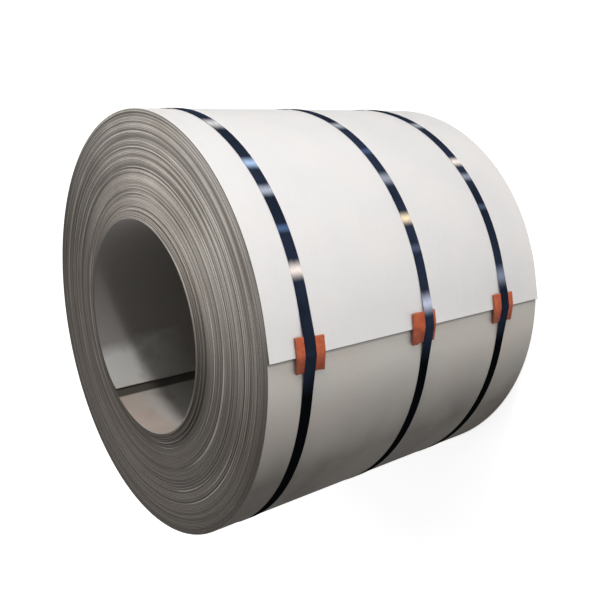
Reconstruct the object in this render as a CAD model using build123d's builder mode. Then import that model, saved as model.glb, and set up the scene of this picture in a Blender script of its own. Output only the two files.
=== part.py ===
"""A steel coil: one long strip wound about 73 times round a mandrel and taken off it.

The coil stands on its level end with its bore upright along Z, and the outer free end of
the strip faces +X. The origin is on the bore's axis, halfway up the strip. Sizes are in
millimetres. Angles are measured about the axis, from +X towards +Y.
"""

from build123d import *
from math import acos, atan2, cos, degrees, radians, sin, sqrt
import os

# The strip and how it is wound
bore_radius = 305.0  # the 610 mm mandrel that slitting lines use
strip_width = 1000.0
turn_pitch = 4.0
turn_count = 73
tail_angle = 4.3  # the outer free edge
head_angle = 232.0  # the inner free edge
lip_length = 69.0  # the last stretch stays straight and stands off

# The ends of the winding
telescope = 14.0  # how far the innermost turns have slid up
telescoped_turns = 8
telescope_steps = 3
wander = 3.0  # how far the other turns have slid up at most
level_turns = (8, 5, 10, 6, 4)  # how many turns in a row lie level, from the outside in

# The straps, with the place of each measured down from the strip's top edge
strap_places = {"top": 114.0, "middle": 514.0, "bottom": 833.0}
strap_width = 32.0
strap_thickness = 0.9
strap_clearance = 0.2

# The seals that close the straps, behind the coil
seal_angle = 142.0
seal_length = 50.0
seal_wall = 1.2
strap_overlap = 150.0
seal_clearance = 0.1

# The pads folded over the tail under the straps
pad_places = {"top": 116.0, "middle": 497.0, "bottom": 828.0}
pad_width = 85.0
pad_upper_length = 40.0
pad_lower_length = 41.0
pad_thickness = 6.0
pad_clearance = 0.2

# Worked out from the sizes above
outer_radius = bore_radius + turn_count * turn_pitch
wrap_radius = outer_radius - turn_pitch  # the turn that the tail lies on
top_edge = strip_width / 2


def polar(radius, angle):
    """The point at a radius and an angle about the axis."""
    return Vector(radius * cos(radians(angle)), radius * sin(radians(angle)))


# The tail's lip leaves the round at its root and runs straight to its tip
lip_angle = degrees(lip_length / outer_radius)
lip_root_angle = tail_angle + lip_angle
lip_root = polar(outer_radius, lip_root_angle)
lip_tip = polar(outer_radius / cos(radians(lip_angle)), tail_angle)
lip_normal = polar(1, lip_root_angle)
lip_lift = lip_tip.length - outer_radius

# The outside is two half rounds, the second half a pitch smaller and off centre
second_half_radius = outer_radius - turn_pitch / 2
second_half_centre = polar(-turn_pitch / 2, tail_angle)

# The wedge of air under the lip begins where it is this wide
wedge_root_gap = 0.4
wedge_angle = lip_root_angle - degrees(sqrt(2 * wedge_root_gap / wrap_radius))
wedge_floor = second_half_centre + polar(second_half_radius, wedge_angle)
wedge_roof = polar(wrap_radius / cos(radians(lip_root_angle - wedge_angle)), wedge_angle)

# The bore's wall runs straight from the first turn up onto the head's edge
step_radius = bore_radius + turn_pitch
bridge_angle = degrees(acos(bore_radius / step_radius))
bore_arc = 360 - bridge_angle


def winding_bands():
    """Bands of turns that lie level: inner radius, outer radius and how far up they lie."""
    bands = []
    outer_turn = turn_count
    while outer_turn > telescoped_turns:
        turns = level_turns[len(bands) % len(level_turns)]
        inner_turn = max(outer_turn - turns, telescoped_turns)
        bands.append((inner_turn, outer_turn, wander * (1 - cos(2.4 * len(bands))) / 2))
        outer_turn = inner_turn
    for step in range(telescope_steps):
        inner_turn = telescoped_turns * step / telescope_steps
        outer_turn = telescoped_turns * (step + 1) / telescope_steps
        bands.append((inner_turn, outer_turn, telescope * (1 - step / telescope_steps)))
    return [
        (bore_radius + inner * turn_pitch, bore_radius + outer * turn_pitch, shift)
        for inner, outer, shift in bands
    ]


# Coil: the section across the axis, with the free end outside and the free end inside
with BuildPart() as coil:
    with BuildSketch(Plane.XY.offset(-strip_width)) as section:
        with BuildLine():
            Line(lip_tip, lip_root)
            CenterArc((0, 0), outer_radius, lip_root_angle, 180 - lip_angle)
            CenterArc(
                second_half_centre,
                second_half_radius,
                tail_angle + 180,
                180 + wedge_angle - tail_angle,
            )
            Line(wedge_floor, wedge_roof)
            Line(wedge_roof, lip_tip - lip_normal * turn_pitch)
            Line(lip_tip - lip_normal * turn_pitch, lip_tip)
        make_face()
        with BuildLine():
            CenterArc((0, 0), bore_radius, head_angle - bore_arc, bore_arc)
            Line(polar(bore_radius, head_angle), polar(step_radius, head_angle))
            Line(polar(step_radius, head_angle), polar(bore_radius, head_angle - bore_arc))
        make_face(mode=Mode.SUBTRACT)
    extrude(amount=2 * strip_width)
    # The turned ends: each band of turns is as wide as the strip and lies a little up
    with BuildSketch(Plane.XZ):
        for inner, outer, shift in winding_bands():
            low = inner - turn_pitch if inner == bore_radius else inner
            high = outer + 2 * (lip_lift + turn_pitch) if outer == outer_radius else outer
            with Locations(((low + high) / 2, shift)):
                Rectangle(high - low, strip_width)
    revolve(axis=Axis.Z, mode=Mode.INTERSECT)
coil.part.label = "coil"

# Pad: a sheet of rubber folded over the tail's edge, down onto the turn below
with BuildSketch() as pad_section:
    fold = lip_tip + lip_normal * pad_clearance
    up_the_lip = (lip_root - lip_tip).normalized()
    foot = polar(wrap_radius + pad_clearance, tail_angle - degrees(pad_lower_length / wrap_radius))
    foot_normal = (foot - fold).normalized().rotate(Axis.Z, 90)
    fold_normal = (lip_normal + foot_normal).normalized()
    pad_top = fold + up_the_lip * pad_upper_length + lip_normal * pad_thickness
    pad_fold = fold + fold_normal * pad_thickness / fold_normal.dot(lip_normal)
    pad_foot = foot + foot_normal * pad_thickness
    with BuildLine():
        Polyline(
            fold + up_the_lip * pad_upper_length,
            fold,
            foot,
            pad_foot,
            pad_fold,
            pad_top,
            close=True,
        )
    make_face()



def touch_angle(point, centre, radius, side):
    """Where a taut line from a point touches a round: side is 1 above the point, -1 below."""
    reach = point - centre
    return degrees(atan2(reach.Y, reach.X)) + side * degrees(acos(radius / reach.length))


def top_touch(point):
    """Where the strap leaves the upper half round for a point of the pad."""
    return touch_angle(point, Vector(0, 0), outer_radius, 1)


def foot_touch(point):
    """Where the strap comes down on the lower half round from a point of the pad."""
    return touch_angle(point, second_half_centre, second_half_radius, -1)


# Strap: pulled tight round the coil and over those of the pad's corners that stand out
top_corner = max((pad_fold, pad_top), key=top_touch)
foot_corner = min((pad_fold, pad_foot), key=foot_touch)
strap_corners = [corner for corner in (pad_top, pad_fold, pad_foot)
                 if corner in (top_corner, pad_fold, foot_corner)]
with BuildSketch() as strap_line:
    with BuildLine():
        top_angle = top_touch(top_corner)
        foot_angle = foot_touch(foot_corner)
        CenterArc((0, 0), outer_radius, top_angle, tail_angle + 180 - top_angle)
        CenterArc(
            second_half_centre,
            second_half_radius,
            tail_angle + 180,
            180 + foot_angle - tail_angle,
        )
        Polyline(
            polar(outer_radius, top_angle),
            *strap_corners,
            second_half_centre + polar(second_half_radius, foot_angle),
        )
    make_face()

# The seal is a short channel crimped over both ends of the strap, where they overlap
strap_inner = outer_radius + strap_clearance
overlap_inner = strap_inner + strap_thickness
overlap_outer = overlap_inner + strap_thickness


def arc_band(inner, outer, length):
    """The face between two radii, of a length along the inner one, at the seal's angle."""
    half = degrees(length / inner) / 2
    with BuildLine() as band:
        CenterArc((0, 0), inner, seal_angle - half, 2 * half)
        Line(polar(inner, seal_angle + half), polar(outer, seal_angle + half))
        CenterArc((0, 0), outer, seal_angle - half, 2 * half)
        Line(polar(outer, seal_angle - half), polar(inner, seal_angle - half))
    make_face(band.edges())


def across(place):
    """The plane across the axis at a distance below the strip's top edge."""
    return Plane.XY.offset(top_edge - place)


os.makedirs("parts", exist_ok=True)
export_step(coil.part, "parts/coil.step")

for name, place in pad_places.items():
    with BuildPart() as pad:
        with BuildSketch(across(place)):
            add(pad_section.sketch_local)
        extrude(amount=pad_width / 2, both=True)
    pad.part.label = f"pad_{name}"
    export_step(pad.part, f"parts/pad_{name}.step")

for name, place in strap_places.items():
    with BuildPart() as strap:
        with BuildSketch(across(place)):
            offset(strap_line.sketch_local, amount=strap_clearance + strap_thickness)
            offset(strap_line.sketch_local, amount=strap_clearance, mode=Mode.SUBTRACT)
        extrude(amount=strap_width / 2, both=True)
        with BuildSketch(across(place)):
            arc_band(overlap_inner, overlap_outer, strap_overlap)
        extrude(amount=strap_width / 2, both=True)
    strap.part.label = f"strap_{name}"
    export_step(strap.part, f"parts/strap_{name}.step")

    with BuildPart() as seal:
        with BuildSketch(across(place)):
            arc_band(strap_inner, overlap_outer + seal_clearance + seal_wall, seal_length)
        extrude(amount=strap_width / 2 + seal_clearance + seal_wall, both=True)
        with BuildSketch(across(place)):
            arc_band(outer_radius, overlap_outer + seal_clearance, 2 * seal_length)
        extrude(amount=strap_width / 2 + seal_clearance, both=True, mode=Mode.SUBTRACT)
    seal.part.label = f"seal_{name}"
    export_step(seal.part, f"parts/seal_{name}.step")
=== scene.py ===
# %% [markdown]
# A strapped steel coil. One long strip of pickled steel is wound about 72 times, three blued
# straps hold it, and folded rubber pads keep the straps off the strip's free edge.
# The photograph shows the coil on its side. On a level floor it would roll, so the part
# stands on its level end, and the camera is laid over with it. What is up in the photograph
# is +Y here, what is right and away is -Z, and the free edge faces +X.

# %% Load the frame
import math
from functools import partial

import bmesh
import bpy
from mathutils import Matrix, Vector


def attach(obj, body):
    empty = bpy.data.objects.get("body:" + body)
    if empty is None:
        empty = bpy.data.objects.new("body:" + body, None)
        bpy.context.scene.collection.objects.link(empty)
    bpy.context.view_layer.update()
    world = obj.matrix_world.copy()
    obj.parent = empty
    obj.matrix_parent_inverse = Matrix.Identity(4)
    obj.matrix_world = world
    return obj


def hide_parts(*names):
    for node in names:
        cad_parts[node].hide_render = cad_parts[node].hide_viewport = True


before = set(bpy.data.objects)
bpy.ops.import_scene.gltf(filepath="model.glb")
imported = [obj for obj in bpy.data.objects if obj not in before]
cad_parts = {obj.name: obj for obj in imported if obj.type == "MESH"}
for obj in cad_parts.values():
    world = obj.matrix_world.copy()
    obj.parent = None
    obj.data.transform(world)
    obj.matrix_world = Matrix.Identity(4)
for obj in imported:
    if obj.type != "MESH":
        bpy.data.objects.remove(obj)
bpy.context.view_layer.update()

print("nodes", sorted(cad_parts))

# %% [markdown]
# Sizes are written in millimetres, as a workshop would, and turned to metres once. The
# strip's sizes are those of the solid that the wound strip stands for. Its outside and its
# bore are fixed, so the pitch follows from the number of turns between the two free edges.

# %% Sizes of the coil
MM = 0.001
BORE_RADIUS = 305 * MM
OUTER_RADIUS = 597 * MM
STRIP_WIDTH = 1000 * MM
STRIP_THICKNESS = 3.55 * MM
TAIL_ANGLE = math.radians(4.3)
HEAD_ANGLE = math.radians(232)
TURNS = 71 + (HEAD_ANGLE - TAIL_ANGLE) / math.tau
PITCH = (OUTER_RADIUS - BORE_RADIUS) / (TURNS + 1)
LIP_LENGTH = 69 * MM  # the last stretch of the tail is straight
HEAD_LENGTH = 50 * MM  # and the first stretch springs into the bore
print(f"{TURNS:.2f} turns, {PITCH / MM:.3f} mm apart")

# %% [markdown]
# Colours are easiest to read as the hex codes that a paint program shows. Blender wants
# linear light, so one function turns the codes over. One more function adds a node to a tree,
# and everything below is built with it. It sets what is named, gives the other values to the
# node's inputs in their order, and hands back an output to join to the next node. The kinds
# of node that are used most get short names first.

# %% Colours and nodes
MATH = "ShaderNodeMath"
RANGE = "ShaderNodeMapRange"
NOISE = "ShaderNodeTexNoise"
MIX = "ShaderNodeMix"
SPLIT = "ShaderNodeSeparateXYZ"
PLACE = "ShaderNodeTexCoord"
STRETCH = "ShaderNodeMapping"
VECTOR = "ShaderNodeVectorMath"
BUMP = "ShaderNodeBump"
SPREAD = (0.3, 0.7)  # nearly all values of a noise lie between these


def colour(code):
    """The linear colour of an sRGB hex code such as C8C4BE."""
    parts = [int(code[i : i + 2], 16) / 255 for i in (0, 2, 4)]
    linear = [p / 12.92 if p <= 0.04045 else ((p + 0.055) / 1.055) ** 2.4 for p in parts]
    return (*linear, 1.0)


def add_node(tree, kind, *values, out=0, **settings):
    """Add a node with its settings and links, and give one of its outputs.

    A named setting belongs to the node or to an input, with _ for a space. The other values
    go to the inputs that are in use, in their order. A colour may be given as a hex code.
    """
    node = tree.nodes.new(kind)
    for name in [name for name in settings if hasattr(node, name)]:
        setattr(node, name, settings.pop(name))
    in_use = [socket for socket in node.inputs if socket.enabled]
    named = [(node.inputs[name.replace("_", " ")], value) for name, value in settings.items()]
    for socket, value in [*zip(in_use, values), *named]:
        if isinstance(value, bpy.types.NodeSocket):
            tree.links.new(value, socket)
        elif socket.type == "RGBA" and isinstance(value, str):
            socket.default_value = colour(value)
        else:
            socket.default_value = value
    given = [socket for socket in node.outputs if socket.enabled or socket.name == out]
    return given[out] if isinstance(out, int) and given else node.outputs.get(str(out))


print("the colour F2F2F2 is", [round(part, 3) for part in colour("F2F2F2")])

# %% [markdown]
# The camera comes early, so that every look from here on is from the photograph's place. Its
# height, turn and tilt were found by laying the coil's outlines over the photograph. They
# are written for a coil that lies on its side, and the last matrix stands it up.

# %% Camera
IMAGE_SIZE = 600
FOCAL_LENGTH_PX = 741.7
CENTRE_SHIFT_PX = (1.74, 5.72)  # the photograph is cut out a little off the lens's axis
SENSOR_MM = 36
CAMERA_PLACE = Vector((1.8506, -1.4109, 0.5688))  # for the lying coil, whose bore runs along Y
CAMERA_TURN = math.radians(51.6)
CAMERA_TILT = math.radians(90 - 14.14)  # it looks down by 14 degrees

camera_data = bpy.data.cameras.new("camera")
camera_data.sensor_width = SENSOR_MM
camera_data.lens = FOCAL_LENGTH_PX / IMAGE_SIZE * SENSOR_MM
camera_data.shift_x = CENTRE_SHIFT_PX[0] / IMAGE_SIZE
camera_data.shift_y = CENTRE_SHIFT_PX[1] / IMAGE_SIZE
camera = bpy.data.objects.new("camera", camera_data)
bpy.context.collection.objects.link(camera)
bpy.context.scene.camera = camera
bpy.context.scene.view_settings.view_transform = "Standard"

stand_up = Matrix.Rotation(math.radians(-90), 4, "X")
turned = Matrix.Rotation(CAMERA_TURN, 4, "Z") @ Matrix.Rotation(CAMERA_TILT, 4, "X")
camera.matrix_world = stand_up @ Matrix.Translation(CAMERA_PLACE) @ turned
print("camera at", [round(v, 3) for v in camera.matrix_world.translation])

# %% [markdown]
# The real coil is a strip on a path, so Geometry Nodes wind it: a line of points is bent
# into the path and a thin section is swept along it. The tree has named inputs, and one
# table holds both their names and the sizes that they get.

# %% The winding's inputs
WINDING_SIZES = {
    "Bore Radius": BORE_RADIUS,
    "Pitch": PITCH,
    "Thickness": STRIP_THICKNESS,
    "Width": STRIP_WIDTH,
    "Edge Round": 0.6 * MM,
    "Turns": TURNS,
    "Points Per Turn": 144,
    "Head Angle": HEAD_ANGLE,
    "Head Turns": HEAD_LENGTH / BORE_RADIUS / math.tau,
    "Head Lift": 5 * MM,
    "Lip Turns": LIP_LENGTH / OUTER_RADIUS / math.tau,
    "First Step": 0.026,  # the share of the first turn that climbs over the head
    "Spread Turns": 25.0,  # by then the climb takes the whole turn
    "Slid Turns": 8.0,
    "Slid Steps": 3.0,
    "Slid Height": 14 * MM,
    "Wander": 1.5 * MM,
    "Groove Depth": 1.5 * MM,
    "Level Turns": 8.0,  # the outermost turns lie ever more level
}
winding = bpy.data.node_groups.new("wound_strip", "GeometryNodeTree")
add = partial(add_node, winding)
for name, value in WINDING_SIZES.items():
    kind = "NodeSocketInt" if isinstance(value, int) else "NodeSocketFloat"
    winding.interface.new_socket(name, in_out="INPUT", socket_type=kind)
for name in ("Sheet Finish", "Edge Finish"):
    winding.interface.new_socket(name, in_out="INPUT", socket_type="NodeSocketMaterial")
winding.interface.new_socket("Strip", in_out="OUTPUT", socket_type="NodeSocketGeometry")
given = add("NodeGroupInput").node.outputs
print(len(WINDING_SIZES), "sizes and 2 finishes go in")

# %% [markdown]
# Every point of the line learns how many turns it is from the strip's inner end. All the rest
# follows from that number. It is also stored, so that the finishes can read it later.

# %% Points that know their turn
last = add(MATH, given["Turns"], given["Points Per Turn"], operation="MULTIPLY")
last = add(MATH, last, operation="ROUND")
count = add(MATH, last, 1.0, operation="ADD")
line = add("GeometryNodeMeshLine", mode="OFFSET", Count=count)
share = add(MATH, add("GeometryNodeInputIndex"), last, operation="DIVIDE")
turn = add(MATH, share, given["Turns"], operation="MULTIPLY")
line = add(
    "GeometryNodeStoreNamedAttribute",
    data_type="FLOAT",
    domain="POINT",
    Geometry=line,
    Name="turn",
    Value=turn,
)
print("nodes so far", len(winding.nodes))

# %% [markdown]
# A plain spiral would do from afar. Near the bore the real turns are round and climb over the
# strip's own inner edge in one short step, and further out the step spreads until the path is
# a spiral. The head springs a little into the bore, and the tail's last stretch runs straight.

# %% How far out each point lies
lip_start = add(MATH, given["Turns"], given["Lip Turns"], operation="SUBTRACT")
round_turn = add(MATH, turn, lip_start, operation="MINIMUM")
whole = add(MATH, round_turn, operation="FLOOR")
part = add(MATH, round_turn, operation="FRACT")
climb = add(RANGE, round_turn, 0.0, given["Spread Turns"], given["First Step"], 1.0)
begin = add(MATH, 1.0, climb, operation="SUBTRACT")
ramp = add(RANGE, part, begin, 1.0)
climbed = add(MATH, add(MATH, whole, ramp, operation="ADD"), 1.0, operation="ADD")
radius = add(MATH, climbed, given["Pitch"], given["Bore Radius"], operation="MULTIPLY_ADD")
radius = add(MATH, given["Thickness"], -0.5, radius, operation="MULTIPLY_ADD")

sprung = add(MATH, turn, given["Head Turns"], operation="DIVIDE")
sprung = add(MATH, 1.0, sprung, operation="SUBTRACT")
sprung = add(MATH, add(MATH, sprung, 0.0, operation="MAXIMUM"), 2.0, operation="POWER")
sprung = add(MATH, sprung, given["Head Lift"], operation="MULTIPLY")
radius = add(MATH, radius, sprung, operation="SUBTRACT")

past = add(MATH, turn, round_turn, operation="SUBTRACT")
past = add(MATH, past, math.tau, operation="MULTIPLY")
radius = add(MATH, radius, add(MATH, past, operation="COSINE"), operation="DIVIDE")
print("nodes so far", len(winding.nodes))

# %% [markdown]
# No turn lies quite level with the next, and this draws the lines on the coil's ends. Noise
# with one dimension reads the turn number for it, so it is the same on every run. Each
# pattern has its own pace, and most start from a turn of their own, so that no two match.
# Only the grooves and the darkening in them, part oil and part painted shade, share one: both
# lie where it crosses its middle.

# %% Noise along the strip
GROOVE_BEAT, GROOVE_START = 0.47, 90.0  # changes per turn, and the turn to read it from


def noise_along(add, turn, beat, detail=1.0, start=0.0):
    """Noise that changes so many times a turn, read from a turn of its own."""
    later = add(MATH, turn, start, operation="ADD")
    return add(NOISE, later, beat, detail, noise_dimensions="1D")


def groove_distance(add, turn):
    """0 in a groove, for the winding and for the finish of its edges."""
    noise = noise_along(add, turn, GROOVE_BEAT, start=GROOVE_START)
    return add(MATH, add(MATH, noise, 0.5, operation="SUBTRACT"), operation="ABSOLUTE")


print("the grooves' noise changes every", round(1 / GROOVE_BEAT, 1), "turns")

# %% [markdown]
# The innermost turns have slid out in steps. The others wander slowly, with a quicker unrest
# on top, and now and then one has stayed low and leaves a groove.

# %% How far up each point lies
RISE_START = 0.75  # each slid step is level at first and rises in its last quarter
SLOW_BEAT, SLOW_SHARE = 0.21, 0.3
QUICK_BEAT, QUICK_SHARE, QUICK_START = 2.3, 0.7, 40.0
GROOVE_REACH = 0.03  # how near its middle the noise is where a groove begins

slid = add(MATH, turn, given["Slid Turns"], operation="DIVIDE")
slid = add(MATH, slid, given["Slid Steps"], operation="MULTIPLY")
step = add(RANGE, add(MATH, slid, operation="FRACT"), RISE_START, 1.0)
slid = add(MATH, add(MATH, slid, operation="FLOOR"), step, operation="ADD")
slid = add(MATH, slid, given["Slid Steps"], operation="DIVIDE")
slid = add(MATH, slid, 1.0, operation="MINIMUM")
height = add(MATH, 1.0, slid, operation="SUBTRACT")
height = add(MATH, height, given["Slid Height"], operation="MULTIPLY")

to_tail = add(MATH, given["Turns"], turn, operation="SUBTRACT")
level = add(RANGE, to_tail, 0.0, given["Level Turns"])
slow = noise_along(add, turn, SLOW_BEAT)
quick = noise_along(add, turn, QUICK_BEAT, start=QUICK_START)
quick = add(MATH, quick, QUICK_SHARE, operation="MULTIPLY")
mixed = add(MATH, slow, SLOW_SHARE, quick, operation="MULTIPLY_ADD")
wander = add(MATH, add(RANGE, mixed, *SPREAD), given["Wander"], operation="MULTIPLY")
wander = add(MATH, add(MATH, wander, slid, operation="MULTIPLY"), level, operation="MULTIPLY")
height = add(MATH, height, wander, operation="ADD")

groove = add(RANGE, groove_distance(add, turn), 0.0, GROOVE_REACH, 1.0, 0.0)
groove = add(MATH, groove, level, operation="MULTIPLY")
groove = add(MATH, groove, given["Groove Depth"], operation="MULTIPLY")
height = add(MATH, height, groove, operation="SUBTRACT")
height = add(MATH, height, 0.0, operation="MAXIMUM")
print("nodes so far", len(winding.nodes))

# %% [markdown]
# Now the points move to their places and become a curve whose normals stay level. The
# section swept along it is as wide as the strip, with its sheared corners slightly rounded.
# Its faces stay smooth, and it is creased where it folds by more than 30 degrees.

# %% Bend the line and sweep the strip
CREASE_ANGLE = math.radians(30)

angle = add(MATH, turn, -math.tau, given["Head Angle"], operation="MULTIPLY_ADD")
across = add(MATH, radius, add(MATH, angle, operation="COSINE"), operation="MULTIPLY")
up = add(MATH, radius, add(MATH, angle, operation="SINE"), operation="MULTIPLY")
place = add("ShaderNodeCombineXYZ", across, up, height)
path = add("GeometryNodeSetPosition", Geometry=line, Position=place)
path = add("GeometryNodeMeshToCurve", path)
path = add("GeometryNodeSetCurveNormal", path, mode="Z_UP")
section = add("GeometryNodeCurvePrimitiveQuadrilateral", given["Thickness"], given["Width"])
section = add("GeometryNodeFilletCurve", section, 1, given["Edge Round"], mode="POLY")
swept = add("GeometryNodeCurveToMesh", path, section, Fill_Caps=True)
fold_angle = add("GeometryNodeInputMeshEdgeAngle")
creased = add(MATH, fold_angle, CREASE_ANGLE, operation="GREATER_THAN")
swept = add("GeometryNodeSetShadeSmooth", swept, creased, False, domain="EDGE")
print("nodes so far", len(winding.nodes))

# %% [markdown]
# The strip's two edges look different from its faces. What faces up or down is edge. The
# tree ends in real geometry with its finishes set, because an export drops instances.

# %% Set the finishes
EDGE_STEEPNESS = 0.3  # how much of an edge's normal points up or down at least

steepness = add(SPLIT, add("GeometryNodeInputNormal"), out="Z")
steepness = add(MATH, steepness, operation="ABSOLUTE")
is_edge = add(MATH, steepness, EDGE_STEEPNESS, operation="GREATER_THAN")
real = add("GeometryNodeRealizeInstances", swept)
dressed = add("GeometryNodeSetMaterial", real, Material=given["Sheet Finish"])
dressed = add("GeometryNodeSetMaterial", dressed, is_edge, given["Edge Finish"])
add("NodeGroupOutput", dressed)
print("the winding's tree has", len(winding.nodes), "nodes")

# %% [markdown]
# A finish starts with an empty material, and the same function fills its tree. Each one ends
# in a Principled shader, where a value that is the same all over is set on its own input.

# %% A new finish
SHADER = "ShaderNodeBsdfPrincipled"
OUTPUT = "ShaderNodeOutputMaterial"


def new_finish(name):
    """An empty material, and the function that adds nodes to it."""
    material = bpy.data.materials.new(name)
    material.use_nodes = True
    material.node_tree.nodes.clear()
    return material, partial(add_node, material.node_tree)


# %% [markdown]
# The strip is hot-rolled steel that acid has pickled clean. Pickling etches the skin, so it
# scatters light like pale matt paper and mirrors almost nothing. Only its broad sheen tells
# that it is metal. Rolling leaves faint streaks along the strip, and handling leaves clouds.
# The outside turn's last half is painted paler, as lit from above, and the sheet below the
# free edge darker, as painted shade. The lower side is painted darker in blotches like dirt,
# as painted shade, and the faces between the turns are painted dark, as shade in the gaps.
# The bore has stains, painted shade where the key light doesn't reach, a painted shadow below
# the head's edge, and a pale brown tarnish by its mouth. A pattern's scale is one over the
# real size of its marks.

# %% Pickled steel: painted light and shade on the outside
CLOUD_SIZE = 200 * MM
BLOTCH_SIZE = 333.3 * MM
GRIME_SHIFT = 80 * MM  # how far the clouds move the border of the painted shade
GRIME_START, GRIME_END = 70 * MM, 340 * MM  # below the middle, before that shift

sheet_steel, add = new_finish("pickled_steel_sheet")
turn = add("ShaderNodeAttribute", attribute_name="turn", out="Fac")
place = add(PLACE, out="Object")
clouds = add(NOISE, place, 1 / CLOUD_SIZE, 4.0)
fresh = add(MIX, add(RANGE, clouds, *SPREAD), "EDEAE8", "E8E6E5", data_type="RGBA")
older = add(MIX, add(RANGE, clouds, 0.35, 0.65), "D0C8C0", "CFCCC6", data_type="RGBA")
# painted light: the outside turn's last half paler, as lit from above, darker below the edge
cleaned = add(RANGE, turn, TURNS - 0.98, TURNS - 0.55)
base = add(MIX, cleaned, older, fresh, data_type="RGBA")
low = add(MATH, add(SPLIT, place, out="Y"), -1.0, operation="MULTIPLY")
low = add(MATH, clouds, GRIME_SHIFT, low, operation="MULTIPLY_ADD")
# painted shade: the lower side darker, mottled by the blotches below
grime = add(RANGE, low, GRIME_START, GRIME_END, 0.0, 0.74)
blotches = add(NOISE, add(STRETCH, place, Scale=(1, 1, 2)), 1 / BLOTCH_SIZE, 5.0)
blotches = add(RANGE, blotches, 0.38, 0.64)
dirt = add(MIX, blotches, "4C463F", "77716A", data_type="RGBA")
base = add(MIX, grime, base, dirt, data_type="RGBA")
metal = add(RANGE, grime, 0.0, 1.0, 0.2, 0.0)
corner = add(RANGE, turn, TURNS - 0.9995, TURNS - 0.9972, 0.75, 0.0)  # painted shadow under the free edge
below_edge = add(MATH, turn, TURNS - 1.0, operation="GREATER_THAN")
corner = add(MATH, corner, below_edge, operation="MULTIPLY")
base = add(MIX, corner, base, "4A4641", data_type="RGBA")
print("grime starts some", round((GRIME_START - GRIME_SHIFT / 2) / MM), "mm below the middle")

# %% Pickled steel: the bore
STAIN_SIZE = 71.43 * MM
UPPER_WALL = (-0.64, 0.77, 0.0)  # the way to the part of the bore that was up

stains = add(RANGE, add(NOISE, place, 1 / STAIN_SIZE, 5.0), 0.52, 0.75)
bore = add(MIX, stains, "D6D4D0", "B0ABA6", data_type="RGBA")
depth = add(MATH, add(SPLIT, place, out="Z"), operation="ABSOLUTE")
# painted shade: the bore darker towards that wall and deeper in, where the key light doesn't
# reach
wall = add(VECTOR, place, UPPER_WALL, operation="DOT_PRODUCT")
wall = add(MATH, clouds, 100 * MM, wall, operation="MULTIPLY_ADD")
oiled = add(RANGE, wall, 100 * MM, 155 * MM)
oiled = add(MATH, oiled, add(RANGE, depth, 420 * MM, 220 * MM), operation="MAXIMUM")
bore = add(MIX, oiled, bore, "9C9894", data_type="RGBA")
tarnish = add(MATH, clouds, 250 * MM, add(SPLIT, place, out="Y"), operation="MULTIPLY_ADD")
tarnish = add(RANGE, tarnish, -100 * MM, -170 * MM, 0.0, 0.7)
tarnish = add(MATH, tarnish, add(RANGE, depth, 360 * MM, 460 * MM), operation="MULTIPLY")
bore = add(MIX, tarnish, bore, "DFC9BB", data_type="RGBA")
oily = add(RANGE, turn, 0.9835, 0.9865, 0.0, 0.93)  # a painted shadow band below the head's edge
bore = add(MIX, oily, bore, "1E1B19", data_type="RGBA")
print("the wall is oiled towards", UPPER_WALL[:2])

# %% Pickled steel: streaks, grain and shader
STREAK_LENGTH = 384.6 * MM
STREAK_SLIMNESS = 60  # so that streaks lie some 6 mm apart
GRAIN_SIZE = 3.03 * MM  # finer in truth, and drawn so coarse that it shows
WAVE_LENGTH = 250 * MM

inside = add(MATH, turn, TURNS - 1.0, operation="LESS_THAN")  # painted shade on the faces between the turns
base = add(MIX, inside, base, "7E776F", data_type="RGBA")
base = add(MIX, add(RANGE, turn, 0.9, 1.2), bore, base, data_type="RGBA")
streaks = add(STRETCH, place, Scale=(1, 1, STREAK_SLIMNESS))
streaks = add(NOISE, streaks, 1 / STREAK_LENGTH, 3.0)
grain = add(NOISE, place, 1 / GRAIN_SIZE, 2.0)
shade = add(RANGE, streaks, 0.25, 0.75, 0.98, 1.0)
shade = add(MATH, shade, add(RANGE, grain, *SPREAD, 0.965, 1.0), operation="MULTIPLY")
shade = add("ShaderNodeCombineColor", shade, shade, shade)
base = add(MIX, 1.0, base, shade, data_type="RGBA", blend_type="MULTIPLY")
waves = add(NOISE, add(STRETCH, place, Scale=(1, 1, 3)), 1 / WAVE_LENGTH)
waves = add(MATH, waves, 6.0, grain, operation="MULTIPLY_ADD")
skin = add(
    SHADER,
    Base_Color=base,
    Metallic=metal,
    Roughness=add(RANGE, streaks, *SPREAD, 0.52, 0.6),
    Specular_IOR_Level=0.0,
    Normal=add(BUMP, Height=waves, Strength=0.35, Distance=0.25 * MM),
)
add(OUTPUT, skin)
print(sheet_steel.name, "has", len(sheet_steel.node_tree.nodes), "nodes")

# %% [markdown]
# The strip's two edges were sheared, so each is bare, coarse and grey-brown with a little
# rust in its pits. The colour follows the turns: some run darker, and the grooves between
# others are dark with oil and painted shade. The side towards the key light is painted paler,
# as lit, and the rest darker, as painted shade. The outermost and innermost turns are darker,
# most on the shaded side. Dark lines every few turns are painted shadows of proud turns, and
# here and there an edge is pale, worn bright and painted as catching the light.

# %% Sheared edge: painted light and shade, and dirt
SMUDGE_SIZE = 285.7 * MM
RUBBED_SIDE = (0.36, 0.93, 0.0)  # the way to the part of the end that is painted pale, as lit
RUBBED_START, RUBBED_END = 170 * MM, 620 * MM  # along it, with the smudges' shift
BROAD_BEAT = 0.3

edge_steel, add = new_finish("sheared_steel_edge")
turn = add("ShaderNodeAttribute", attribute_name="turn", out="Fac")
place = add(PLACE, out="Object")
clouds = add(NOISE, place, 1 / SMUDGE_SIZE, 3.0)
towards = add(VECTOR, place, RUBBED_SIDE, operation="DOT_PRODUCT")
towards = add(MATH, clouds, 300 * MM, towards, operation="MULTIPLY_ADD")
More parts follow.
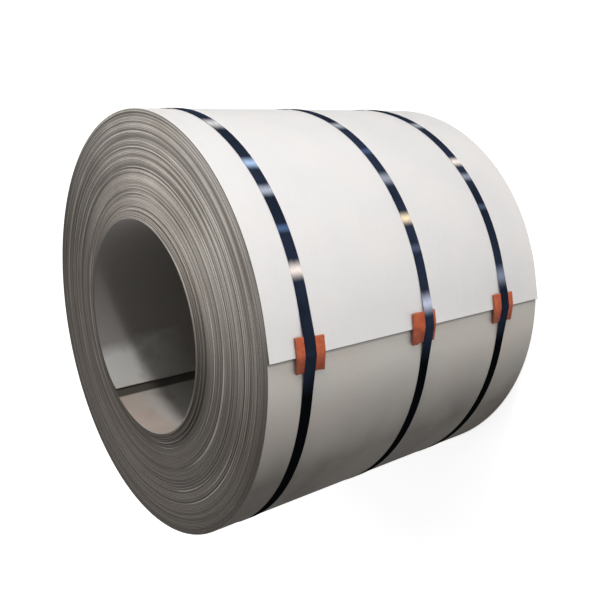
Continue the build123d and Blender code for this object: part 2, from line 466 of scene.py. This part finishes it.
# painted light and shade: paler towards the key light, darker away from it
rubbed = add(RANGE, towards, RUBBED_START, RUBBED_END)
broad = add(RANGE, noise_along(add, turn, BROAD_BEAT, 2.0), *SPREAD)
low_side = add(MIX, broad, "827B74", "928A82", data_type="RGBA")
high_side = add(MIX, broad, "D0C9C1", "DED8D0", data_type="RGBA")
base = add(MIX, rubbed, low_side, high_side, data_type="RGBA")
base = add(MIX, add(RANGE, clouds, 0.45, 0.65, 0.0, 0.5), base, "8A7F74", data_type="RGBA")
# dirt and painted shade: outermost and innermost turns darker, most on the shaded side
soiled = add(RANGE, turn, TURNS - 14.0, TURNS - 3.0, 0.0, 0.85)
soiled = add(MATH, soiled, add(RANGE, rubbed, 0.0, 0.8, 1.0, 0.3), operation="MULTIPLY")
innermost = add(RANGE, turn, 14.0, 4.0, 0.0, 0.8)
innermost = add(MATH, innermost, add(RANGE, rubbed, 0.0, 0.7, 1.0, 0.0), operation="MULTIPLY")
soiled = add(MATH, soiled, innermost, operation="MAXIMUM")
base = add(MIX, soiled, base, "57514B", data_type="RGBA")
print("the end is rubbed pale towards", RUBBED_SIDE[:2])

# %% Sheared edge: the lines of the turns
LINE_TURNS = 3.1  # a painted shadow line every three turns or so
LINE_SWAY = 8.0  # and how many turns the noise moves it by at most
FINE_BEAT, FINE_START = 2.1, 20.0
SWAY_BEAT, SWAY_START = 0.35, 130.0
BRIGHT_BEAT, BRIGHT_START = 1.7, 60.0

outermost = add(RANGE, turn, TURNS - 8.0, TURNS - 3.0, 1.0, 0.5)
fine = noise_along(add, turn, FINE_BEAT, 2.0, FINE_START)
fine = add(RANGE, fine, *SPREAD, 0.05, 0.55)
fine = add(MATH, fine, outermost, operation="MULTIPLY")
base = add(MIX, fine, base, "564F49", data_type="RGBA")
# dark in the grooves: oil and painted shade
oil = add(RANGE, groove_distance(add, turn), 0.006, 0.02, 0.6, 0.0)
oil = add(MATH, oil, outermost, operation="MULTIPLY")
base = add(MIX, oil, base, "35312E", data_type="RGBA")
swayed = noise_along(add, turn, SWAY_BEAT, 2.0, SWAY_START)
swayed = add(MATH, swayed, LINE_SWAY, turn, operation="MULTIPLY_ADD")
swayed = add(MATH, swayed, math.tau / LINE_TURNS, operation="MULTIPLY")
# painted shadow lines of proud turns, strongest on the lit side
crack = add(RANGE, add(MATH, swayed, operation="SINE"), 0.6, 0.95, 0.0, 0.7)
crack = add(MATH, crack, add(RANGE, rubbed, 0.3, 1.0, 0.25, 1.0), operation="MULTIPLY")
base = add(MIX, crack, base, "45403C", data_type="RGBA")
# pale lines: edges worn bright, and painted as catching the light
bright = add(RANGE, noise_along(add, turn, BRIGHT_BEAT, 2.0, BRIGHT_START), 0.63, 0.69)
bright = add(MATH, bright, add(RANGE, clouds, 0.42, 0.58, 0.6, 0.1), operation="MULTIPLY")
bright = add(MATH, bright, outermost, operation="MULTIPLY")
base = add(MIX, bright, base, "D2CBC2", data_type="RGBA")
print("nodes so far", len(edge_steel.node_tree.nodes))

# %% Sheared edge: pits and shader
PIT_SIZE = 3.846 * MM  # finer in truth, and drawn so coarse that they show

pits = add(NOISE, place, 1 / PIT_SIZE, 3.0)
base = add(MIX, add(RANGE, pits, 0.56, 0.72, 0.0, 0.45), base, "5A4A3C", data_type="RGBA")
skin = add(
    SHADER,
    Base_Color=base,
    Metallic=0.15,
    Roughness=add(RANGE, pits, *SPREAD, 0.5, 0.65),
    Specular_IOR_Level=0.1,
    Normal=add(BUMP, Height=pits, Strength=0.5, Distance=0.3 * MM),
)
add(OUTPUT, skin)
print(edge_steel.name, "has", len(edge_steel.node_tree.nodes), "nodes")

# %% [markdown]
# The tree's result is made a plain mesh at once and the modifier is taken off, so that the
# frame and every export see the same shape.

# %% Wind the strip
strip = bpy.data.objects.new("wound_strip", bpy.data.meshes.new("winding_start"))
bpy.context.collection.objects.link(strip)
modifier = strip.modifiers.new("winding", "NODES")
modifier.node_group = winding
winding_values = {**WINDING_SIZES, "Sheet Finish": sheet_steel, "Edge Finish": edge_steel}
for item in winding.interface.items_tree:
    if item.in_out == "INPUT":
        modifier[item.identifier] = winding_values[item.name]
evaluated = strip.evaluated_get(bpy.context.evaluated_depsgraph_get())
strip_mesh = bpy.data.meshes.new_from_object(evaluated)
strip.modifiers.clear()
strip.data = strip_mesh
strip_mesh.name = "wound_strip"
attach(strip, "root")
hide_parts("coil")
triangles = sum(len(face.vertices) - 2 for face in strip_mesh.polygons)
print(triangles, "triangles in", [finish.name for finish in strip_mesh.materials if finish])

# %% [markdown]
# Coil strap is thin hard steel, blued in a furnace and waxed, so it is nearly black with a
# navy cast, and its lower side is painted blacker, as shade. Short bands from pale blue to
# straw are painted highlights: painted reflections of lamps, coloured like steel rubbed
# through its blue skin. Their places on the side that shows are measured, and noise spreads
# pale rubbed patches over the rest. The straps are the solids themselves with a better
# finish, because a taut thin band has nothing to add.

# %% Blued straps
SCRATCH_LENGTH = 33.333 * MM
SCRATCH_SLIMNESS = 25  # so that scratches lie some 1.3 mm apart
SHEEN_SIZE = 111.1 * MM
WEAR_SIZE = 71.43 * MM


def blued_strap(name, bands):
    """A finish whose painted highlights are given as angle, half width, strength and colour."""
    material, add = new_finish(name)
    place = add(PLACE, out="Object")
    x, y = add(SPLIT, place, out="X"), add(SPLIT, place, out="Y")
    angle = add(MATH, add(MATH, y, x, operation="ARCTAN2"), operation="DEGREES")
    scratches = add(STRETCH, place, Scale=(1, 1, SCRATCH_SLIMNESS))
    scratches = add(NOISE, scratches, 1 / SCRATCH_LENGTH, 3.0)
    clouds = add(RANGE, add(NOISE, place, 1 / SHEEN_SIZE, 2.0), 0.35, 0.65)
    base = add(MIX, clouds, "202735", "2C3548", data_type="RGBA")
    waxed = add(RANGE, y, 20 * MM, -60 * MM)  # painted shade: darker and blacker on the lower side
    base = add(MIX, waxed, base, "0D0F11", data_type="RGBA")
    wear = add(RANGE, add(NOISE, place, 1 / WEAR_SIZE, 1.0), 0.66, 0.78, 0.0, 0.5)
    unseen = add(MATH, x, 100 * MM, operation="LESS_THAN")
    total = add(MATH, wear, unseen, operation="MULTIPLY")
    base = add(MIX, total, base, "7C8798", data_type="RGBA")
    # painted highlights: pale bands where lamps would be reflected
    for centre, half_width, strength, code in bands:
        away = add(MATH, add(MATH, angle, centre, operation="SUBTRACT"), operation="ABSOLUTE")
        away = add(MATH, scratches, 0.5 * half_width, away, operation="MULTIPLY_ADD")
        near, far = 0.2 * half_width, 1.3 * half_width
        band = add(RANGE, away, near, far, strength, 0.0, interpolation_type="SMOOTHSTEP")
        base = add(MIX, band, base, code, data_type="RGBA")
        total = add(MATH, total, band, operation="MAXIMUM")
    skin = add(
        SHADER,
        Base_Color=base,
        Metallic=add(MATH, total, 0.4, operation="MULTIPLY"),
        Roughness=add(RANGE, scratches, *SPREAD, 0.22, 0.34),
        Specular_IOR_Level=0.0,
        Normal=add(BUMP, Height=scratches, Strength=0.15, Distance=0.1 * MM),
    )
    add(OUTPUT, skin)
    return material


# %% Where each strap has painted highlights
RUBBED_BANDS = {
    "top": (
        (69.0, 3.9, 0.9, "DADADC"),
        (51.4, 2.3, 0.9, "AEC8EC"),
        (43.0, 2.1, 0.8, "BEC6D6"),
        (33.0, 1.4, 0.5, "6C88BC"),
        (23.2, 2.6, 1.0, "F8EAE4"),
    ),
    "middle": (
        (67.0, 2.6, 0.75, "BEC2CC"),
        (54.0, 1.6, 0.35, "6C86B8"),
        (44.0, 2.6, 0.75, "AFB6C6"),
        (32.0, 2.2, 1.0, "FFE9C6"),
        (24.0, 1.6, 0.35, "7B8AA8"),
        (10.0, 3.4, 0.9, "CDD3EA"),
    ),
    "bottom": (
        (66.5, 2.4, 0.7, "BEC2CC"),
        (48.3, 2.2, 1.0, "FBF2E8"),
        (42.7, 1.8, 0.65, "AFB6C6"),
        (32.8, 1.4, 0.4, "6F7F9F"),
        (13.0, 3.6, 0.6, "A9B4CE"),
    ),
}
for place, bands in RUBBED_BANDS.items():
    finish = blued_strap(f"blued_steel_strap_{place}", bands)
    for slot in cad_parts[f"strap_{place}"].material_slots:
        slot.material = finish
    print(finish.name, "has", len(bands), "rubbed bands")

# %% [markdown]
# Each seal is a short channel closed over both ends of its strap. The closing tool cuts four
# notches into it and turns the cut tabs outwards, and they hold the joint. The seals are
# stamped from zinc-coated strip, which frosts over in pale crystals.

# %% Zinc coating
CRYSTAL_SIZE = 4.545 * MM

zinc, add = new_finish("zinc_coated_steel")
crystals = add("ShaderNodeTexVoronoi", add(PLACE, out="Object"), 1 / CRYSTAL_SIZE, out="Color")
grey = add("ShaderNodeSeparateColor", crystals)
base = add(MIX, grey, "8F9296", "A6A9AC", data_type="RGBA")
roughness = add(RANGE, grey, 0.0, 1.0, 0.3, 0.48)
add(OUTPUT, add(SHADER, Base_Color=base, Metallic=0.8, Roughness=roughness))
print(zinc.name, "has", len(zinc.node_tree.nodes), "nodes")

# %% Places along the coil
STRAP_HEIGHTS = {"top": 386 * MM, "middle": -14 * MM, "bottom": -333 * MM}
PAD_HEIGHTS = {"top": 384 * MM, "middle": 3 * MM, "bottom": -328 * MM}


def polar(radius, angle, height=0.0):
    """The point at a radius, an angle and a height."""
    return Vector((radius * math.cos(angle), radius * math.sin(angle), height))


def finished(name, maker, material, replaced):
    """Make a mesh an object on the body, in the place of a solid."""
    mesh = bpy.data.meshes.new(name)
    bmesh.ops.recalc_face_normals(maker, faces=maker.faces)
    maker.to_mesh(mesh)
    maker.free()
    mesh.materials.append(material)
    piece = bpy.data.objects.new(name, mesh)
    bpy.context.collection.objects.link(piece)
    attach(piece, "root")
    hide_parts(replaced)
    return piece


print("straps at", [round(height / MM) for height in STRAP_HEIGHTS.values()], "mm")

# %% [markdown]
# A seal is lofted: the same section is set at places along the strap, and its sides are
# raised at the tabs. A place just before and just after each tab makes the cut look sheared.

# %% A seal's section and its stations
SEAL_ANGLE = math.radians(142)
SEAL_LENGTH = 50 * MM
SEAL_INSIDE = 597.2 * MM  # the strap lies a little above the coil
SEAL_HALF_WIDTH = 17.3 * MM
SEAL_HEIGHT = 3.1 * MM
SEAL_WALL = 1.2 * MM
SEAL_CORNER = 0.8 * MM
TAB_START = 11.5 * MM
TAB_SLOPE = 0.5
TAB_PLACES = (-13 * MM, 9 * MM)
TAB_LENGTH = 7 * MM
CUT_WIDTH = 0.3 * MM

half, top = SEAL_HALF_WIDTH, SEAL_HEIGHT
inner_half, inner_top = half - SEAL_WALL, top - SEAL_WALL
outer = [(0.0, half), (top - SEAL_CORNER, half), (top, half - SEAL_CORNER), (top, TAB_START)]
inner = [(inner_top, TAB_START), (inner_top, inner_half), (0.0, inner_half)]
mirrored = [[(rise, -width) for rise, width in reversed(side)] for side in (outer, inner)]
seal_section = outer + mirrored[0] + mirrored[1] + inner
seal_stations = [(-SEAL_LENGTH / 2, 0.0)]
for start in TAB_PLACES:
    seal_stations += [(start - CUT_WIDTH, 0.0), (start, 1.0)]
    seal_stations += [(start + TAB_LENGTH, 1.0), (start + TAB_LENGTH + CUT_WIDTH, 0.0)]
seal_stations.append((SEAL_LENGTH / 2, 0.0))
print("a seal has", len(seal_section), "points at", len(seal_stations), "stations")


# %% Seals
def lofted_seal(centre_height):
    """A channel over the strap, with four tabs turned outwards."""
    maker = bmesh.new()
    loops = []
    for along, raised in seal_stations:
        angle = SEAL_ANGLE + along / SEAL_INSIDE
        loop = []
        for rise, width in seal_section:
            lift = raised * TAB_SLOPE * max(abs(width) - TAB_START, 0.0)
            point = polar(SEAL_INSIDE + rise + lift, angle, centre_height + width)
            loop.append(maker.verts.new(point))
        loops.append(loop)
    for first, second in zip(loops, loops[1:]):
        for i, j in zip(range(len(first)), [*range(1, len(first)), 0]):
            maker.faces.new((first[i], first[j], second[j], second[i]))
    maker.faces.new(loops[0])
    maker.faces.new(reversed(loops[-1]))
    return maker


for place, height in STRAP_HEIGHTS.items():
    maker = lofted_seal(height)
    seal = finished(f"notched_seal_{place}", maker, zinc, f"seal_{place}")
    print(seal.name, "has", len(seal.data.polygons), "faces")

# %% [markdown]
# The pads are cut from red sheet rubber, matt and a little dusty, with a sheen only at a low
# angle. Their lower halves are painted darker as shade, and the cut rim dark as shade.

# %% Rubber
FADE_SIZE = 25 * MM
DUST_SIZE = 11.111 * MM
RUBBER_GRAIN = 1.1111 * MM


def sheet_rubber(name, dark, light):
    """Red rubber between two colours."""
    material, add = new_finish(name)
    place = add(PLACE, out="Object")
    clouds = add(NOISE, place, 1 / FADE_SIZE, 3.0)
    base = add(MIX, add(RANGE, clouds, 0.35, 0.65), dark, light, data_type="RGBA")
    dust = add(RANGE, add(NOISE, place, 1 / DUST_SIZE, 4.0), 0.52, 0.7, 0.0, 0.3)
    base = add(MIX, dust, base, "D58C70", data_type="RGBA")
    corners = add("ShaderNodeNewGeometry", out="Pointiness")
    corners = add(RANGE, corners, 0.52, 0.56, 0.0, 0.35)
    base = add(MIX, corners, base, "DE9478", data_type="RGBA")
    # painted shade: the lower half darker
    soiled = add(MATH, clouds, 30 * MM, add(SPLIT, place, out="Y"), operation="MULTIPLY_ADD")
    soiled = add(RANGE, soiled, 68 * MM, 30 * MM, 0.0, 0.75)
    base = add(MIX, soiled, base, "7C3A26", data_type="RGBA")
    grain = add(NOISE, place, 1 / RUBBER_GRAIN, 2.0)
    skin = add(
        SHADER,
        Base_Color=base,
        Roughness=add(RANGE, clouds, *SPREAD, 0.68, 0.8),
        Sheen_Weight=0.1,
        Specular_IOR_Level=0.3,
        Normal=add(BUMP, Height=grain, Strength=0.3, Distance=0.2 * MM),
    )
    add(OUTPUT, skin)
    return material


rubber = sheet_rubber("red_sheet_rubber", "B9532F", "CE6640")
# painted shade: the cut rim is coloured as dark as the shade on it
cut_rubber = sheet_rubber("cut_rubber_edge", "461D12", "5E2A1B")
print("rubber finishes", rubber.name, cut_rubber.name)

# %% [markdown]
# A pad is a piece of sheet rubber laid over the tail's edge. The strap pulls it down hard, so
# it follows the edge in an easy bend, swells a little on both sides of the strap, and its
# free corners stand off the steel. First comes the line over the pad's outside: straight from
# its top to near the fold, round it, and straight again to its foot.

# %% The line over a pad
PAD_WIDTH = 85 * MM
PAD_UPPER_LENGTH = 40 * MM
PAD_LOWER_LENGTH = 41 * MM
PAD_THICKNESS = 6 * MM
PAD_CLEARANCE = 0.2 * MM
WRAP_RADIUS = 593 * MM
FOLD_REACH = 14 * MM  # where the bend starts on each side of the fold
PAD_ROWS = 30
STRAIGHT = 0.3  # the share of the rows on each side of the bend

lip_turn = LIP_LENGTH / OUTER_RADIUS
lip_root = polar(OUTER_RADIUS, TAIL_ANGLE + lip_turn)
lip_tip = polar(OUTER_RADIUS / math.cos(lip_turn), TAIL_ANGLE)
lip_normal = polar(1.0, TAIL_ANGLE + lip_turn)
fold = lip_tip + lip_normal * PAD_CLEARANCE
foot = polar(WRAP_RADIUS + PAD_CLEARANCE, TAIL_ANGLE - PAD_LOWER_LENGTH / WRAP_RADIUS)
foot_normal = Matrix.Rotation(math.radians(90), 3, "Z") @ (foot - fold).normalized()
mid_normal = (lip_normal + foot_normal).normalized()
outer_fold = fold + mid_normal * PAD_THICKNESS / mid_normal.dot(lip_normal)
start = fold + (lip_root - lip_tip).normalized() * PAD_UPPER_LENGTH + lip_normal * PAD_THICKNESS
finish = foot + foot_normal * PAD_THICKNESS
above = outer_fold + (start - outer_fold).normalized() * FOLD_REACH
below = outer_fold + (finish - outer_fold).normalized() * FOLD_REACH

pad_points, pad_normals = [], []
for i in range(PAD_ROWS + 1):
    part = i / PAD_ROWS
    bend = min(max((part - STRAIGHT) / (1 - 2 * STRAIGHT), 0.0), 1.0)
    if part < STRAIGHT:
        pad_points.append(start.lerp(above, part / STRAIGHT))
    elif part > 1 - STRAIGHT:
        pad_points.append(below.lerp(finish, 1 - (1 - part) / STRAIGHT))
    else:
        pad_points.append(above.lerp(outer_fold, bend).lerp(outer_fold.lerp(below, bend), bend))
    pad_normals.append(lip_normal.lerp(foot_normal, bend).normalized())
ends = [[round(v / MM) for v in point] for point in (start, finish)]
print("the pad's line runs from", ends[0], "to", ends[1])

# %% [markdown]
# A grid of points follows that line in one direction and the tail's edge in the other. The
# lift at a point says how far it stands off: a ridge beside the strap, and a rise towards
# the free corners. The pads also lie a little askew, as the photograph shows.

# %% A point of a pad
STRAP_HALF_WIDTH = 16 * MM
PAD_COLUMNS = 40
SWELL_HEIGHT, SWELL_PLACE, SWELL_WIDTH = 0.5 * MM, 4 * MM, 3.5 * MM  # the ridge by a strap
LOOSE_START, LOOSE_WIDTH = 5 * MM, 22 * MM  # beyond it the sheet is free
FAR_SIDE = 0.6  # the corners on the photograph's far side lift less
RAGGED, RAGGED_PACE = 0.5 * MM, 190  # how far the cut ends waver, in waves of 33 mm
# How far the corners above and below the fold lift, in millimetres
CORNER_LIFTS = {"top": (1.5, 4.5), "middle": (2.5, 4.5), "bottom": (1.0, 3.5)}
SLANTS = {"top": 7 * MM, "middle": 1 * MM, "bottom": 2 * MM}  # how far the near side is up


def pad_point(place, row, column, depth):
    """A point of a pad at a depth below its outside."""
    part = 2 * row / PAD_ROWS - 1
    across = (column / PAD_COLUMNS - 0.5) * PAD_WIDTH
    normal = pad_normals[row]
    beside = abs(across - STRAP_HEIGHTS[place] + PAD_HEIGHTS[place]) - STRAP_HALF_WIDTH
    swell = SWELL_HEIGHT * math.exp(-(((beside - SWELL_PLACE) / SWELL_WIDTH) ** 2))
    loose = min(max(beside - LOOSE_START, 0.0) / LOOSE_WIDTH, 1.1)
    corner = CORNER_LIFTS[place][part >= 0] * MM * (1.0 if across > 0 else FAR_SIDE)
    lift = swell + corner * loose**1.6 * abs(part) ** 1.8
    askew = RAGGED * math.sin(across * RAGGED_PACE + 2.1 * len(place)) * part
    askew += SLANTS[place] * (across / PAD_WIDTH + 0.5) * (1.0 if part < 0 else 0.4)
    along = Vector((-normal.y, normal.x, 0.0)) * askew * abs(part)
    up = Vector((0.0, 0.0, PAD_HEIGHTS[place] + across))
    return pad_points[row] + normal * (lift - depth) + along + up


print("one corner is at", [round(v / MM) for v in pad_point("top", 0, 0, 0.0)])


# %% Pads
PAD_DEPTH = 0.94 * PAD_THICKNESS  # so that the sheet stays clear of the steel
PAD_BEVEL = 0.5 * MM
CUT_ANGLE = math.radians(50)  # what folds by more is a cut edge


def rubber_pad(place):
    """The two sides of the sheet and its rim, bevelled as cut rubber looks."""
    maker = bmesh.new()
    rows, columns = range(PAD_ROWS + 1), range(PAD_COLUMNS + 1)
    outside, inside = (
        [[maker.verts.new(pad_point(place, i, j, depth)) for j in columns] for i in rows]
        for depth in (0.0, PAD_DEPTH)
    )
    for grid in (outside, inside):
        for i in range(PAD_ROWS):
            for j in range(PAD_COLUMNS):
                maker.faces.new((grid[i][j], grid[i][j + 1], grid[i + 1][j + 1], grid[i + 1][j]))
    rim = [(0, j) for j in columns] + [(i, PAD_COLUMNS) for i in rows[1:]]
    rim += [(PAD_ROWS, j) for j in reversed(columns[:-1])]
    rim += [(i, 0) for i in reversed(rows[1:-1])]
    cut_faces = {
        maker.faces.new((outside[a][b], outside[c][d], inside[c][d], inside[a][b]))
        for (a, b), (c, d) in zip(rim, rim[1:] + rim[:1])
    }
    bmesh.ops.recalc_face_normals(maker, faces=maker.faces)
    sharp = [edge for edge in maker.edges if edge.calc_face_angle(0.0) > CUT_ANGLE]
    for face in maker.faces:
        face.smooth = True
        face.material_index = int(face in cut_faces)
    bmesh.ops.bevel(maker, geom=sharp, offset=PAD_BEVEL, segments=2, affect="EDGES")
    return maker


for place in PAD_HEIGHTS:
    pad = finished(f"folded_pad_{place}", rubber_pad(place), rubber, f"pad_{place}")
    pad.data.materials.append(cut_rubber)
    print(pad.name, "reaches", round(max(v.co.x for v in pad.data.vertices) / MM, 1), "mm out")

# %% [markdown]
# The studio is a pale floor and a white surround. The floor gives off light of its own, only
# to the camera and to reflections, so that it looks white where no shadow falls and whiter
# still further off. Under the coil it gives off none, or the bore would glow.

# %% Floor
FLOOR_HALF = 14.0
FLOOR_GLOW = 0.72
FAR_GLOW = 0.26  # and so much more further off
FAR_START, FAR_END = 0.9, 2.6  # metres from the axis

floor_mesh = bpy.data.meshes.new("floor")
ring = ((-1, -1), (1, -1), (1, 1), (-1, 1))
floor_corners = [(x * FLOOR_HALF, y * FLOOR_HALF, -STRIP_WIDTH / 2) for x, y in ring]
floor_mesh.from_pydata(floor_corners, [], [(0, 1, 2, 3)])
floor = bpy.data.objects.new("floor", floor_mesh)
bpy.context.collection.objects.link(floor)
print("the floor is", 2 * FLOOR_HALF, "m wide")


# %% Floor paint
def direct_view(add):
    """1 for rays from the camera, a reflection or glass, and 0 for scattered light."""
    seen = add("ShaderNodeLightPath").node.outputs
    glossy = add(MATH, seen["Is Camera Ray"], seen["Is Glossy Ray"], operation="MAXIMUM")
    return add(MATH, glossy, seen["Is Transmission Ray"], operation="MAXIMUM")


floor_paint, add = new_finish("pale_floor_paint")
plan = add(VECTOR, add(PLACE, out="Object"), (1, 1, 0), operation="MULTIPLY")
distance = add(VECTOR, plan, operation="LENGTH")
under = add(RANGE, distance, OUTER_RADIUS - 20 * MM, OUTER_RADIUS, 0.0, FLOOR_GLOW)
further = add(RANGE, distance, FAR_START, FAR_END, 0.0, FAR_GLOW)
glow = add(MATH, under, further, operation="ADD")
skin = add(
    SHADER,
    Base_Color="F2F2F2",
    Roughness=0.9,
    Specular_IOR_Level=0.0,
    Emission_Color="FFFFFF",
    Emission_Strength=add(MATH, glow, direct_view(add), operation="MULTIPLY"),
)
add(OUTPUT, skin)
floor_mesh.materials.append(floor_paint)
print(floor_paint.name, "glows", FLOOR_GLOW, "near the coil")

# %% Surround
SKY_FILL = 0.2
world = bpy.data.worlds.new("studio")
bpy.context.scene.world = world
world.use_nodes = True
world.node_tree.nodes.clear()
add = partial(add_node, world.node_tree)
strength = add(MATH, direct_view(add), SKY_FILL, operation="MAXIMUM")
add("ShaderNodeOutputWorld", add("ShaderNodeBackground", "FFFFFF", strength))
print("the surround lights the coil with", SKY_FILL)

# %% [markdown]
# The key light stands on the side that is up in the photograph. It is low over the coil's
# end, so that it reaches only a hand's breadth into the bore. A small lamp gives crisp edges
# and a wide one softens them. One lamp on the camera's side fills the shadows, and one behind
# lightens the dirty lower side. A narrow one hangs over the bore and shines outwards, past
# its rim, onto the upper part of the end.

# %% Lamps
def area_lamp(name, place, target, width, height, watts, spread=180):
    """A soft lamp at a place, turned to a target, with its long side level."""
    data = bpy.data.lights.new(name, "AREA")
    data.shape = "RECTANGLE"
    data.size, data.size_y = width, height
    data.energy = watts
    data.spread = math.radians(spread)
    lamp = bpy.data.objects.new(name, data)
    lamp.location = place
    lamp.rotation_euler = (Vector(target) - Vector(place)).to_track_quat("-Z", "Y").to_euler()
    bpy.context.collection.objects.link(lamp)
    print(name, watts, "W")


area_lamp("key", (1.0, 2.25, 0.96), (0, 0, 0.2), 0.2, 0.12, 12)
area_lamp("soft_key", (2.1, 4.6, 1.5), (0, 0, 0.2), 3.2, 0.45, 69)
area_lamp("front", (3.3, 0.9, 0.2), (0, 0, 0), 1.8, 1.2, 17)
area_lamp("fill", (-2.1, -2.2, 2.4), (0, 0, 0.2), 1.8, 1.8, 18)
area_lamp("end", (-0.05, 0.0, 1.5), (0.2, 0.42, 0.5), 0.4, 0.4, 1.2, spread=56)
